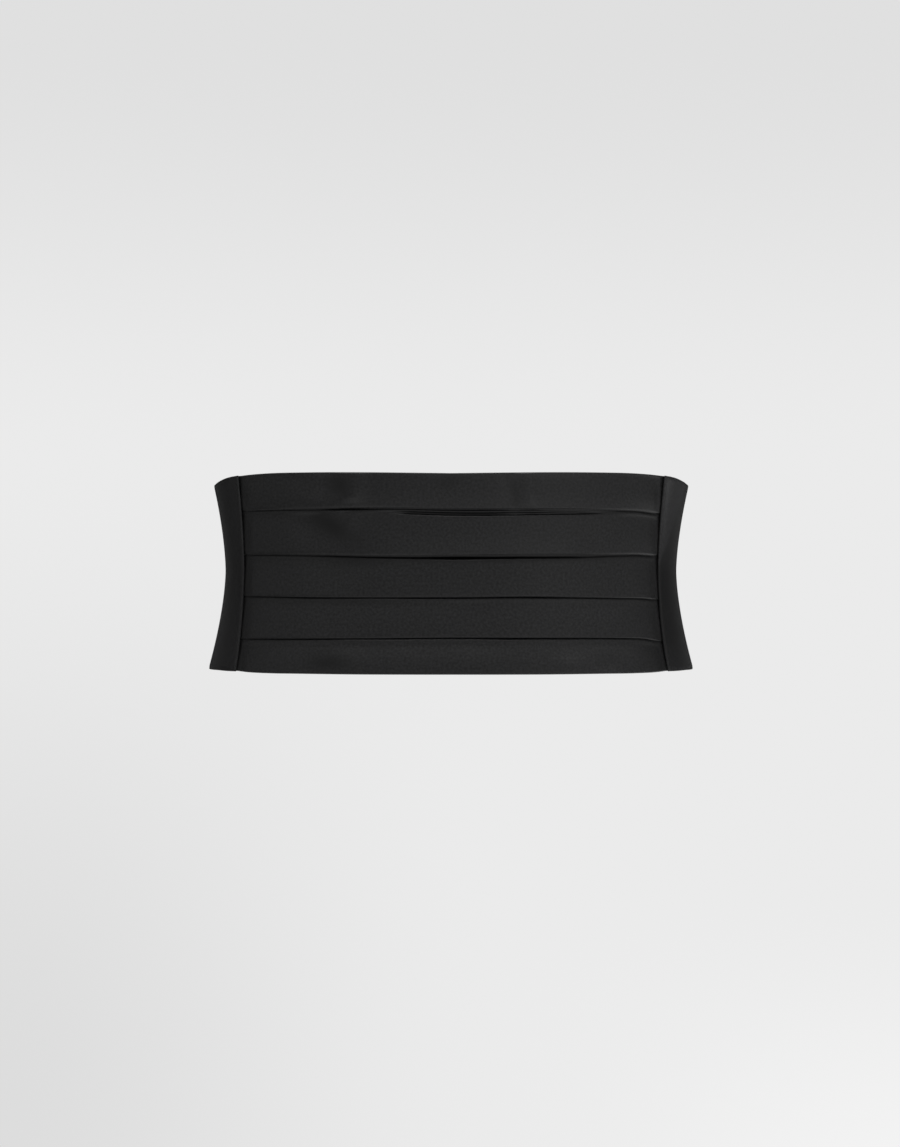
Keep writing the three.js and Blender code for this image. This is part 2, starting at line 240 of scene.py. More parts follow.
def on_body(distance, z, out, section=None):
    """Points of cloth, from distance along the body (negative to the left), height and distance out."""
    scale = flare(z if section is None else section)
    along, xs, ys, nxs, nys = CURVE
    d = np.abs(distance) / scale
    x, y, nx, ny = (np.interp(d, along, values) for values in (xs, ys, nxs, nys))
    side = np.where(distance < 0, -1.0, 1.0)
    return np.stack([side * (x * scale + nx * out), y * scale + ny * out, z], axis=-1)


def seam_at(side, z):
    seam = SEAMS["left" if side < 0 else "right"]
    up = np.clip(z, 0, None) / RISE
    down = np.clip(-z, 0, None) / DROP
    return seam["middle"] + seam["top"] * up ** 2 + seam["hem"] * down ** 3


# Meshes
def linked_object(name, data):
    thing = bpy.data.objects.new(name, data)
    bpy.context.scene.collection.objects.link(thing)
    return thing


def smooth(mesh):
    mesh.polygons.foreach_set("use_smooth", [True] * len(mesh.polygons))


def end_faces(loop, heights):
    """Triangles over the end of a loop from its top down, level by level, so they follow a curved end."""
    faces = []
    down, up = 0, len(loop) - 1
    while up - down > 1:
        if heights[down + 1] >= heights[up - 1]:
            faces.append([loop[down], loop[down + 1], loop[up]])
            down += 1
        else:
            faces.append([loop[down], loop[up - 1], loop[up]])
            up -= 1
    return faces


def loop_mesh(name, points, cloth, lining, tone=1.0):
    """Closed cloth from rows of loops, each from its top down the outside and up the inside.

    points is rows x loop x 3 in millimetres, cloth the flat place of each, lining 1 where a point is inside
    and tone how light the cloth's colour is there, which holds painted shade and painted light.
    """
    rows, count = points.shape[:2]
    mesh = bpy.data.meshes.new(name)
    index = np.arange(rows * count).reshape(rows, count)
    near, far = index[:-1], index[1:]
    quads = np.stack([near, np.roll(near, -1, 1), np.roll(far, -1, 1), far], axis=-1).reshape(-1, 4)
    faces = quads.tolist()
    faces += [face[::-1] for face in end_faces(index[0].tolist(), points[0, :, 2])]
    faces += end_faces(index[-1].tolist(), points[-1, :, 2])
    mesh.from_pydata((points.reshape(-1, 3) * MM).tolist(), [], faces)
    smooth(mesh)
    weave = mesh.attributes.new("cloth", "FLOAT_VECTOR", "POINT")
    weave.data.foreach_set("vector", (cloth.reshape(-1, 3) * MM).ravel())
    inside = mesh.attributes.new("lining", "FLOAT", "POINT")
    inside.data.foreach_set("value", np.tile(np.asarray(lining, float), rows))
    shade = mesh.attributes.new("tone", "FLOAT", "POINT")
    shade.data.foreach_set("value", np.broadcast_to(tone, (rows, count)).ravel().astype(float))
    mesh.update()
    return linked_object(name, mesh)


def flat_places(points, distance):
    """Place of each point in the flat cloth: distance along the body, and length down the loop."""
    step = np.linalg.norm(np.diff(points, axis=1), axis=2)
    down = np.concatenate([np.zeros((len(points), 1)), np.cumsum(step, axis=1)], axis=1)
    down = np.broadcast_to(down[len(points) // 2], down.shape)
    return np.stack([distance, down, np.zeros_like(down)], axis=-1)


# The pleated front
FACE_STEPS = 34
CREASED_STEPS = 48
INNER_STEPS = 30
LIP_STEPS = 7
STATION_STEP = 1.1
FACE_CROWDING = 1.5
TONGUE_STEPS = 7

# A pleat's face: its lift where its fold is shut, the share of the face over which it lifts, and how soon
# its waves and dents grow from its top and its dents fade to its fold
SHUT_LIFT = 0.85
LIFT_START = 0.03
LIFT_STRETCH = 0.85
LIFT_BEND = 0.8
WAVES_GROW = 6
DENTS_GROW = 8
DENTS_FADE = 3
DENTS_AT_FOLD = 0.4
DEEPEST = 0.75
DROOP_START = 0.84

# A pleat's folded lip, and the open pocket behind it
LIP_ROLL = {"left": 2.4, "right": 1.0, "from": -0.5, "to": 0.3}
LIP_UNDER = 0.5
POCKET_RISE = 0.3
POCKET_CLOSING = 0.5
BACK_LEVELS = (1, 0.7, 0.4, 0.15)
FRONT_LEVELS = (0.4, 0.7, 1)
TOP_TURN = 0.8

# The groove just under a fold and the swell below it, which an open fold widens and flattens
GROOVE_DEPTH = 0.6
GROOVE_WIDTH = {"shut": 0.18, "opening": 0.81, "drop": 0.4}
SWELL = 0.45
SWELL_DROP = 1.6
SWELL_REACH = 1.8
SWELL_SHUT = 1.4
SWELL_FLATTENING = 0.6
SWELL_LEAST = 0.1

# Painted shade in the cloth's colour along the crease and under each fold, and where the shaded strip under
# a fold lies
CREASE_PAINTED_SHADE = 0.9
FOLD_PAINTED_SHADE = 0.3
PAINTED_SHADE_DROP = 0.8
PAINTED_SHADE_REACH = {"shut": 0.4, "opening": 0.7}
LIGHTEST = 1.5

# Relief beside the seam, and where the front runs on behind a side panel
SEAM_DIP = 1.4
SEAM_FULLNESS = 0.55
TONGUE_RELIEF = 0.1
TONGUE_SETTLES = 3


def waves(distance, z):
    """Slow unevenness of laid cloth, in millimetres."""
    return sum(
        wave["height"] * np.sin(distance / wave["across"] + wave["start"] + z / wave["up"])
        for wave in WAVES
    )


def soft_round_spots(table, across, z):
    """Sum of a table's soft round spots at places on the front: dents in the shape, or painted shade and
    light in the colour.
    """
    depth = np.zeros(np.broadcast(across, z).shape)
    for dent in table:
        x = (across - dent["across"]) * FRONT_HALF_WIDTH
        y = z - (dent["height"] * FRONT_HEIGHT - DROP)
        turn = math.radians(dent["slant"])
        along = (x * math.cos(turn) + y * math.sin(turn)) / dent["reach"]
        beside = (y * math.cos(turn) - x * math.sin(turn)) / dent["spread"]
        depth = depth + dent["depth"] * np.exp(-along ** 2 - beside ** 2)
    return depth


def fold_line(fold, across):
    share = smooth_curve(FOLD_PLACES, fold["heights"], across)
    droop = fold["droop"] * smoothstep(across, DROOP_START, 1.0)
    return share * FRONT_HEIGHT - DROP - droop


def crease(across, z, fold_z):
    middle = (CREASE["start"] + CREASE["end"]) / 2
    drop = smooth_curve((CREASE["start"], middle, CREASE["end"]), CREASE["drop"], across)
    fade = smoothstep(across, CREASE["start"], CREASE["start"] + CREASE["grows"])
    fade = fade * (1 - smoothstep(across, CREASE["end"] - CREASE["fades"], CREASE["end"]))
    beside = (z - (fold_z - drop)) / CREASE["half_width"]
    return CREASE["depth"] * fade * np.exp(-beside ** 2)


def painted_fold_shade(across, z):
    """How much painted shade darkens the cloth's colour along the second crease and just under each fold."""
    lines = [fold_line(fold, across) for fold in FOLDS]
    darker = CREASE_PAINTED_SHADE * crease(across, z, lines[0]) / CREASE["depth"]
    for fold, line in zip(FOLDS, lines):
        opening = smooth_curve(OPEN_PLACES, fold["open"], across)
        reach = PAINTED_SHADE_REACH["shut"] + PAINTED_SHADE_REACH["opening"] * opening
        under = (line - z - PAINTED_SHADE_DROP * opening) / reach
        darker = darker + FOLD_PAINTED_SHADE * opening * np.exp(-under ** 2) * (z < line)
    return darker


def front_outline(across, relief):
    """Heights and distances out of the front's outline at each station, as two stations x points arrays."""
    top = RISE * smooth_curve(FRONT_EDGES["across"], FRONT_EDGES["top"], np.abs(across))
    hem = -DROP * smooth_curve(FRONT_EDGES["across"], FRONT_EDGES["hem"], np.abs(across))
    edge = FRONT_WALL / 2
    z_columns, out_columns = [], []

    def add(z, out):
        z_columns.append(np.broadcast_to(z, across.shape))
        out_columns.append(np.broadcast_to(out, across.shape))

    upper = top
    above = None
    for order in range(len(FOLDS) + 1):
        is_last = order == len(FOLDS)
        fold = None if is_last else FOLDS[order]
        opening = np.ones_like(across) if is_last else smooth_curve(OPEN_PLACES, fold["open"], across)
        lift = PLEAT_LIFT * relief * lerp(SHUT_LIFT, 1, opening)
        gap = POCKET_GAP * relief * opening
        lip = (lift - gap) / 2
        lower = hem if is_last else fold_line(fold, across)
        if order > 0:
            for share in BACK_LEVELS:
                add(upper + POCKET_DEPTH * share, FRONT_WALL * np.ones_like(across))
        start = upper - edge * TOP_TURN if order == 0 else upper
        to_right = smoothstep(across, LIP_ROLL["from"], LIP_ROLL["to"])
        roll = edge if is_last else lerp(LIP_ROLL["left"], LIP_ROLL["right"], to_right)
        steps = CREASED_STEPS if order == 1 else FACE_STEPS
        for step in range(steps + 1):
            down = (step / steps) ** FACE_CROWDING
            z = lerp(start, lower + roll, down)
            lifted = np.clip((down - LIFT_START) / LIFT_STRETCH, 0, 1) ** LIFT_BEND
            shape = lift * smoothstep(lifted, 0, 1)
            shape = shape + waves(across * FRONT_HALF_WIDTH, z) * relief * min(1, WAVES_GROW * down)
            growing = DENTS_GROW * down + (1 if order == 0 else 0)
            fading = DENTS_FADE * (1 - down) + (1 if is_last else DENTS_AT_FOLD)
            shape = shape - relief * min(1, growing, fading) * soft_round_spots(DENTS, across, z)
            if order == 1:
                shape = shape - relief * crease(across, z, upper)
            if order > 0:
                width = GROOVE_WIDTH["shut"] + GROOVE_WIDTH["opening"] * above
                from_groove = (upper - z - GROOVE_WIDTH["drop"] * width) / width
                from_swell = (upper - z - SWELL_DROP) / SWELL_REACH
                swell = SWELL * np.clip(SWELL_SHUT - SWELL_FLATTENING * above, SWELL_LEAST, 1)
                shape = shape + relief * swell * np.exp(-from_swell ** 2)
                shape = shape - relief * GROOVE_DEPTH * above * np.exp(-from_groove ** 2)
            add(z, FRONT_WALL + np.maximum(shape, -DEEPEST * FRONT_WALL))
        face = out_columns[-1]
        if is_last:
            for step in range(1, LIP_STEPS):
                turn = math.pi * step / LIP_STEPS
                half = face / 2
                add(lower + roll * (1 - math.sin(turn)), half + half * math.cos(turn))
        else:
            for step in range(1, LIP_STEPS + 1):
                turn = math.pi / 2 * step / LIP_STEPS
                add(lower + roll * (1 - math.sin(turn)), face - lip * (1 - math.cos(turn)))
            under = LIP_UNDER * lip
            for step in range(1, LIP_STEPS):
                turn = math.pi / 2 * step / LIP_STEPS
                add(lower + under * (1 - math.cos(turn)), face - lip - lip * math.sin(turn))
            add(lower + under + POCKET_RISE, face - 2 * lip)
            for share in FRONT_LEVELS:
                add(lower + POCKET_DEPTH * share, FRONT_WALL + gap * lerp(1, POCKET_CLOSING, share))
        upper = lower
        above = opening
    outside = len(z_columns)
    for step in range(INNER_STEPS + 1):
        add(lerp(hem + edge, top - edge, step / INNER_STEPS), np.zeros_like(across))
    for step in range(1, LIP_STEPS):
        turn = math.pi * step / LIP_STEPS
        add(top - edge * (1 - math.sin(turn)), FRONT_WALL / 2 * (1 - math.cos(turn)))
    lining = [0.0] * outside + [1.0] * (INNER_STEPS + 1) + [0.0] * (LIP_STEPS - 1)
    return np.stack(z_columns, axis=1), np.stack(out_columns, axis=1), lining


def pleated_front():
    half = np.arange(0, FRONT_HALF_WIDTH, STATION_STEP)
    middle = np.concatenate([-half[:0:-1], half]) / half[-1]
    tongue = np.linspace(0, SEAM_ALLOWANCE, TONGUE_STEPS + 1)[1:]
    across = np.concatenate([-np.ones(len(tongue)), middle, np.ones(len(tongue))])
    past = np.concatenate([-tongue[::-1], np.zeros(len(middle)), tongue])
    from_seam = (1 - np.abs(across)) * FRONT_HALF_WIDTH
    relief = lerp(SEAM_RELIEF, SEAM_FULLNESS, smoothstep(from_seam, 0, SEAM_DIP))
    relief = relief + (1 - SEAM_FULLNESS) * smoothstep(from_seam, SEAM_DIP, PUCKER_LENGTH + SEAM_DIP)
    relief = relief - (SEAM_RELIEF - TONGUE_RELIEF) * smoothstep(np.abs(past), 0, TONGUE_SETTLES)
    z, out, lining = front_outline(across, relief)
    left, right = seam_at(-1, z), seam_at(1, z)
    distance = across[:, None] * np.where(across[:, None] < 0, left, right) + past[:, None]
    points = on_body(distance, z, out)
    # Painted shade darkens the outside's colour in the table's soft spots, along the second crease and under
    # each fold, and painted light lightens it where a spot's depth is negative
    darker = soft_round_spots(PAINTED_SHADE_SPOTS, across[:, None], z) + painted_fold_shade(across[:, None], z)
    tone = np.clip(1 - darker * (1 - np.asarray(lining)), 0, LIGHTEST)
    return loop_mesh("front_cloth", points, flat_places(points, distance), lining, tone)


# Side panels. The folded front edge has a ridge along it and a dip behind, and the turned edges curl in.
NEAR_FOLD = (0, 0.06, 0.18, 0.36, 0.6, 0.9)
RIDGE = {"height": 0.25, "at": 0.9, "reach": 0.8}
DIP = {"height": 0.1, "at": 3.2, "reach": 1.5}
ROUNDED = 0.6
LEAST_ROUNDING = 0.02
PANEL_STEPS = 110
EDGE_CROWDING = 0.6
HEM_DEPTH = 2.6
HEM_CURL = 0.45
TOP_CURL = 0.2
CURL_BEND = 1.5
EDGE_ROLL = 0.4
SETTLED_AT = 44
PANEL_WAVE = {"height": 0.12, "along": 13.0, "up": 31.0, "side": 1.3, "from": 2, "to": 14}

# The right panel's painted light and shade: a slanting line's height at the seam and its slope, how softly
# it turns, how far over the hem the turn grows and behind the seam it fades, and the painted highlight strip
# along the hem
TURN_HEIGHT = 4
TURN_SLOPE = 1.35
TURN_SOFTNESS = 3.5
TURN_GROWS = 26
TURN_FADES = (50, 100)
HEM_STRIP = (1.5, 3.5)
TURN_LIGHTER = 0.75
TURN_DARKER = 0.5
SIDE_START = FRONT_WALL + PLEAT_LIFT * SEAM_RELIEF + GAP
SIDE_END = FRONT_HALF_WIDTH + SIDE_LENGTH


def panel_painted_light(past, z, hem):
    """The right panel's painted light and shade: painted light above a slanting line and a painted highlight
    at the hem, painted shade below the line.
    """
    line = TURN_HEIGHT + TURN_SLOPE * past
    above = smoothstep(z - line, -TURN_SOFTNESS, TURN_SOFTNESS)
    near_seam = 1 - smoothstep(past, *TURN_FADES)
    over_hem = smoothstep(z, hem, hem + TURN_GROWS) * near_seam
    at_hem = TURN_LIGHTER * (1 - smoothstep(z - hem, *HEM_STRIP)) * near_seam
    return 1 + lerp(-TURN_DARKER, TURN_LIGHTER, above) * over_hem + at_hem


def side_panel(name, side):
    past = np.concatenate([NEAR_FOLD, np.linspace(1.2, 30, 54), np.linspace(31, SIDE_LENGTH, 100)])
    fold = np.clip(past / (ROUNDED * SIDE_WALL), 0, 1)
    rounding = np.sqrt(np.clip(1 - (1 - fold) ** 2, LEAST_ROUNDING, 1))
    along = past / SIDE_LENGTH
    end_half = STRAP_HEIGHT / 2 + STRAP_MARGIN
    top = lerp(end_half, RISE, smooth_curve(SIDE_SECTIONS["along"], SIDE_SECTIONS["top"], along))
    hem = -lerp(end_half, DROP, smooth_curve(SIDE_SECTIONS["along"], SIDE_SECTIONS["hem"], along))
    inner = lerp(SIDE_START, 0, smoothstep(past, 0, SETTLED_AT))
    ridge, dip = (
        form["height"] * np.exp(-((past - form["at"]) / form["reach"]) ** 2)
        for form in (RIDGE, DIP)
    )
    share = (1 - np.cos(np.linspace(0, math.pi, PANEL_STEPS + 1))) / 2
    share = lerp(np.linspace(0, 1, PANEL_STEPS + 1), share, EDGE_CROWDING)
    z_face = lerp((top - EDGE_ROLL)[:, None], (hem + EDGE_ROLL)[:, None], share[None, :])
    # the turned edges curl in a little, more at the hem than at the top
    from_hem = np.clip(1 - (z_face - hem[:, None]) / HEM_DEPTH, 0, 1)
    from_top = np.clip(1 - (top[:, None] - z_face) / HEM_DEPTH, 0, 1)
    turned = -HEM_CURL * from_hem ** CURL_BEND - TOP_CURL * from_top ** CURL_BEND
    wave = PANEL_WAVE
    slow = np.sin(past[:, None] / wave["along"] + side * wave["side"] + z_face / wave["up"])
    slow = wave["height"] * slow * smoothstep(past, wave["from"], wave["to"])[:, None]
    half_wall = SIDE_WALL / 2
    middle = (inner + half_wall)[:, None]
    outer_out = middle + half_wall * rounding[:, None] + (ridge - dip)[:, None] + turned + slow
    inner_out = middle - half_wall * rounding[:, None] + np.zeros_like(z_face)
    z_columns, out_columns = [z_face], [outer_out]
    turns = math.pi * np.arange(1, LIP_STEPS) / LIP_STEPS
    at_hem = (hem, outer_out[:, -1:], inner_out[:, -1:])
    at_top = (top, inner_out[:, :1], outer_out[:, :1])
    for rim, last, first in (at_hem, at_top):
        sign = 1 if rim is hem else -1
        z_columns.append(rim[:, None] + sign * EDGE_ROLL * (1 - np.sin(turns))[None, :])
        out_columns.append((last + first) / 2 + (last - first) / 2 * np.cos(turns)[None, :])
        if rim is hem:
            z_columns.append(z_face[:, ::-1])
            out_columns.append(inner_out[:, ::-1])
    z, out = np.concatenate(z_columns, axis=1), np.concatenate(out_columns, axis=1)
    distance = side * lerp(seam_at(side, z), SIDE_END, along[:, None])
    points = on_body(distance, z, out)
    if side < 0:
        points, distance = points[::-1], distance[::-1]
    lining = [0.0] * (PANEL_STEPS + LIP_STEPS) + [1.0] * (PANEL_STEPS + 1) + [0.0] * (LIP_STEPS - 1)
    # Only the right panel carries painted light and shade in its colour; the left keeps an even tone
    tone = panel_painted_light(past[:, None], z, hem[:, None]) if side > 0 else np.ones_like(z)
    tone = 1 + (tone[::side] - 1) * (1 - np.asarray(lining))
    return loop_mesh(name, points, flat_places(points, distance), lining, tone)


# Straps
TAIL_OUT = GAP
CLASP_OUT = TAIL_OUT + STRAP_WALL + GAP
RUN_OUT = CLASP_OUT + CLASP_WALL + GAP
LAP_OUT = SIDE_WALL + GAP
STRAP_START = FRONT_HALF_WIDTH + SIDE_LENGTH - STRAP_LAP
CLASP_START = HALF_GIRTH - CLASP_WIDTH / 2
STRAP_TURN = CLASP_START + CLASP_BAR + GAP
STRAP_CORNER = 0.85
STRAP_STEPS = 36
# the sewn line along each edge, as a shallow dip
SEWN_LINE = {"depth": 0.14, "inset": 2.2, "half_width": 0.3}


def strap_line():
    """The strap's middle line in plan, as distance along the body and distance out."""
    half = STRAP_WALL / 2
    level = CLASP_START - STRAP_WALL
    run = np.linspace(STRAP_START, level, 90)
    rising = smoothstep(run, STRAP_START + STRAP_LAP, level)
    line = [np.stack([run, lerp(LAP_OUT, RUN_OUT, rising) + half], axis=1)]
    low, high = TAIL_OUT + half, RUN_OUT + half
    straight = np.linspace(level, STRAP_TURN - 0.2, 8)[1:]
    line.append(np.stack([straight, np.full(len(straight), high)], axis=1))
    corner = STRAP_CORNER
    reach = STRAP_TURN + half
    for turn in np.linspace(0, math.pi / 2, 7)[1:]:
        line.append([[reach - corner + corner * math.sin(turn), high - corner + corner * math.cos(turn)]])
    for turn in np.linspace(0, math.pi / 2, 7):
        line.append([[reach - corner + corner * math.cos(turn), low + corner - corner * math.sin(turn)]])
    tail = np.linspace(STRAP_TURN - 0.4, STRAP_TURN - STRAP_TAIL, 26)
    line.append(np.stack([tail, np.full(len(tail), low)], axis=1))
    return np.concatenate(line)


def strap(name, side):
    line = strap_line()
    tangent = np.gradient(line, axis=0)
    tangent /= np.linalg.norm(tangent, axis=1)[:, None]
    normal = np.stack([-tangent[:, 1], tangent[:, 0]], axis=1)
    half_height = STRAP_HEIGHT / 2
    edge = STRAP_WALL / 2
    face = np.linspace(half_height - edge, -half_height + edge, STRAP_STEPS + 1)
    turns = math.pi * np.arange(1, LIP_STEPS) / LIP_STEPS
    from_line = (half_height - np.abs(face) - SEWN_LINE["inset"]) / SEWN_LINE["half_width"]
    outer = edge - SEWN_LINE["depth"] * np.exp(-from_line ** 2)
    rim = edge * (1 - np.sin(turns))
    z = np.concatenate([face, -half_height + rim, face[::-1], half_height - rim])
    thick = np.concatenate([outer, edge * np.cos(turns), -outer[::-1], -edge * np.cos(turns)])
    distance = line[:, :1] + normal[:, :1] * thick[None, :]
    out = line[:, 1:] + normal[:, 1:] * thick[None, :]
    z = np.broadcast_to(z, distance.shape)
    follows = 1 - smoothstep(line[:, :1], STRAP_START + STRAP_LAP, STRAP_TURN - STRAP_TAIL)
    points = on_body(side * distance, z, out, section=z * follows)
    travelled = np.concatenate([[0], np.cumsum(np.linalg.norm(np.diff(line, axis=0), axis=1))])
    place = np.broadcast_to(travelled[:, None], distance.shape)
    if side < 0:
        points = points[::-1]
    return loop_mesh(name, points, flat_places(points, place), np.zeros(points.shape[1]))


# The thread that sews a strap down: a box of stitches near its end
STITCH_LENGTH = 2.3
STITCH_STEP = 3.2
STITCH_HALF_THICKNESS = 0.24
STITCH_SIDES = 8
STITCH_INSET = 2.4
STITCH_SUNK = 0.05
STITCH_DIP = 0.2


def strap_stitching(name, side):
    near, far = STRAP_START + STITCH_INSET, STRAP_START + STRAP_LAP - STITCH_INSET
    reach = STRAP_HEIGHT / 2 - STITCH_INSET
    upright = np.arange(-reach, reach - STITCH_LENGTH + 0.1, STITCH_STEP)
    level = np.arange(near + 0.4, far - STITCH_LENGTH + 0.1, STITCH_STEP)
    starts = [(row, z, 0, 1) for row in (near, far) for z in upright]
    starts += [(d, z, 1, 0) for z in (-reach, reach) for d in level]
    share = np.linspace(0, 1, 9)
    thickness = STITCH_HALF_THICKNESS * np.sqrt(np.clip(1 - (2 * share - 1) ** 4, 0.03, 1))
    turns = np.linspace(0, 2 * math.pi, STITCH_SIDES, endpoint=False)
    surface = LAP_OUT + STRAP_WALL
    points, faces = [], []
    for d, z, along_d, along_z in starts:
        first = len(points)
        for place, thick in zip(share, thickness):
            # the thread dips into the cloth at both ends
            out = surface - STITCH_SUNK - STITCH_DIP * (2 * place - 1) ** 4 + thick * np.sin(turns)
            wide = thick * np.cos(turns)
            ring_d = d + along_d * place * STITCH_LENGTH + along_z * wide
            ring_z = z + along_z * place * STITCH_LENGTH + along_d * wide
            points += (on_body(side * ring_d, ring_z, out) * MM).tolist()
        count = len(share)
        for ring in range(count - 1):
            for k in range(STITCH_SIDES):
                after = (k + 1) % STITCH_SIDES
                low, high = first + ring * STITCH_SIDES, first + (ring + 1) * STITCH_SIDES
                faces.append((low + k, low + after, high + after, high + k))
        faces.append(tuple(range(first + STITCH_SIDES - 1, first - 1, -1)))
        faces.append(tuple(range(len(points) - STITCH_SIDES, len(points))))
    mesh = bpy.data.meshes.new(name)
    mesh.from_pydata(points, [], faces)
    shape = bmesh.new()
    shape.from_mesh(mesh)
    bmesh.ops.recalc_face_normals(shape, faces=shape.faces)
    shape.to_mesh(mesh)
    shape.free()
    smooth(mesh)
    return linked_object(name, mesh)


# Clasp
SLOT_CORNER = 0.6
CLASP_BEVEL = 0.35
CLASP_SHARP = 40


def rounded_outline(x, z, half_width, half_height, radius, corner_steps=8):
    points = []
    for cx, cz, start in ((1, 1, 0), (-1, 1, 90), (-1, -1, 180), (1, -1, 270)):
        for step in range(corner_steps + 1):
            turn = math.radians(start + 90 * step / corner_steps)
            points.append((
                x + cx * (half_width - radius) + radius * math.cos(turn),
                z + cz * (half_height - radius) + radius * math.sin(turn),
            ))
    return points


def clasp_plate():
    slot_half = STRAP_HEIGHT / 2 + SLOT_CLEARANCE
    rims = [rounded_outline(0, 0, CLASP_WIDTH / 2, slot_half + CLASP_MARGIN, CLASP_CORNER)]
    for side in (-1, 1):
        x = side * (CLASP_WIDTH / 2 - CLASP_BAR - SLOT_WIDTH / 2)
        rims.append(rounded_outline(x, 0, SLOT_WIDTH / 2, slot_half, SLOT_CORNER))
    curve = bpy.data.curves.new("clasp_outline", "CURVE")
    curve.dimensions = "2D"
    curve.fill_mode = "BOTH"
    for rim in rims:
        spline = curve.splines.new("POLY")
        spline.points.add(len(rim) - 1)
        for point, (x, z) in zip(spline.points, rim):
            point.co = (x * MM, z * MM, 0, 1)
        spline.use_cyclic_u = True
    bevel = CLASP_BEVEL * MM
    curve.extrude = CLASP_WALL / 2 * MM - bevel
    curve.bevel_depth = bevel
    curve.bevel_resolution = 3
    curve.offset = -bevel
    shape = linked_object("clasp_outline", curve)
    bpy.context.view_layer.update()
    graph = bpy.context.evaluated_depsgraph_get()
    mesh = bpy.data.meshes.new_from_object(shape.evaluated_get(graph))
    bpy.data.objects.remove(shape)
    low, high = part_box("back_clasp")
    middle = (low[1] + high[1]) / 2
    for vertex in mesh.vertices:
        x, z, depth = vertex.co
        vertex.co = (-x, middle + depth, z)
    mesh.name = "clasp"
    smooth(mesh)
    mesh.set_sharp_from_angle(angle=math.radians(CLASP_SHARP))
    return linked_object("clasp", mesh)


# Materials
def new_material(name):
    material = bpy.data.materials.new(name)
    material.use_nodes = True
    nodes, links = material.node_tree.nodes, material.node_tree.links
    return material, nodes, links, nodes["Principled BSDF"]


def math_on(nodes, links, kind, first, second):
    node = nodes.new("ShaderNodeMath")
    node.operation = kind
    for socket, value in zip(node.inputs, (first, second)):
        if hasattr(value, "links"):
            links.new(value, socket)
        else:
            socket.default_value = value
    return node.outputs["Value"]


LINING_DULLNESS = 0.22
ROUGHNESS_SPREAD = 0.05
DARK_THREAD = 0.3
LIGHT_THREAD = 1.75


